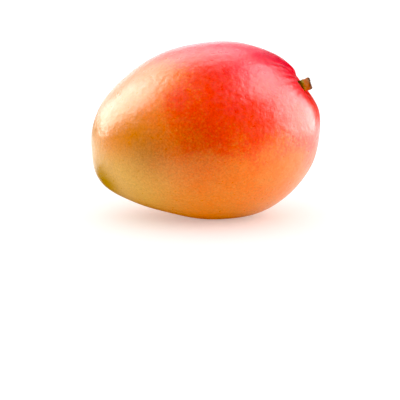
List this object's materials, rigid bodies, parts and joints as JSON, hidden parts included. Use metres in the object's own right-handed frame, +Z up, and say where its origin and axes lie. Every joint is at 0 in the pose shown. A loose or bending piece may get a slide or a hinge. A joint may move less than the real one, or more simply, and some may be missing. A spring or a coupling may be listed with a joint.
{
  "type": "mango",
  "caption": "Whole ripe mango lying on its belly: a plump oval with a full shoulder, a small beak at the far end and a short woody stem stub in a dimple.",
  "frame": {"origin": "centre of the small flat spot on the belly that the fruit rests on", "axes": "+X along the fruit's length towards the stem end, +Z up from the belly to the back, Y across from cheek to cheek"},
  "size_m": [0.1182, 0.083, 0.0915],
  "materials": {
    "mango_skin": "satin waxy fruit skin, crimson at the stem end through orange to yellow at the beak, with fine pale dots",
    "stem_bark": "dry brown fibrous stalk, darker at its cut end"
  },
  "bodies": {
    "root": {"fruit": "mango_skin", "stem": "stem_bark"}
  },
  "joints": []
}
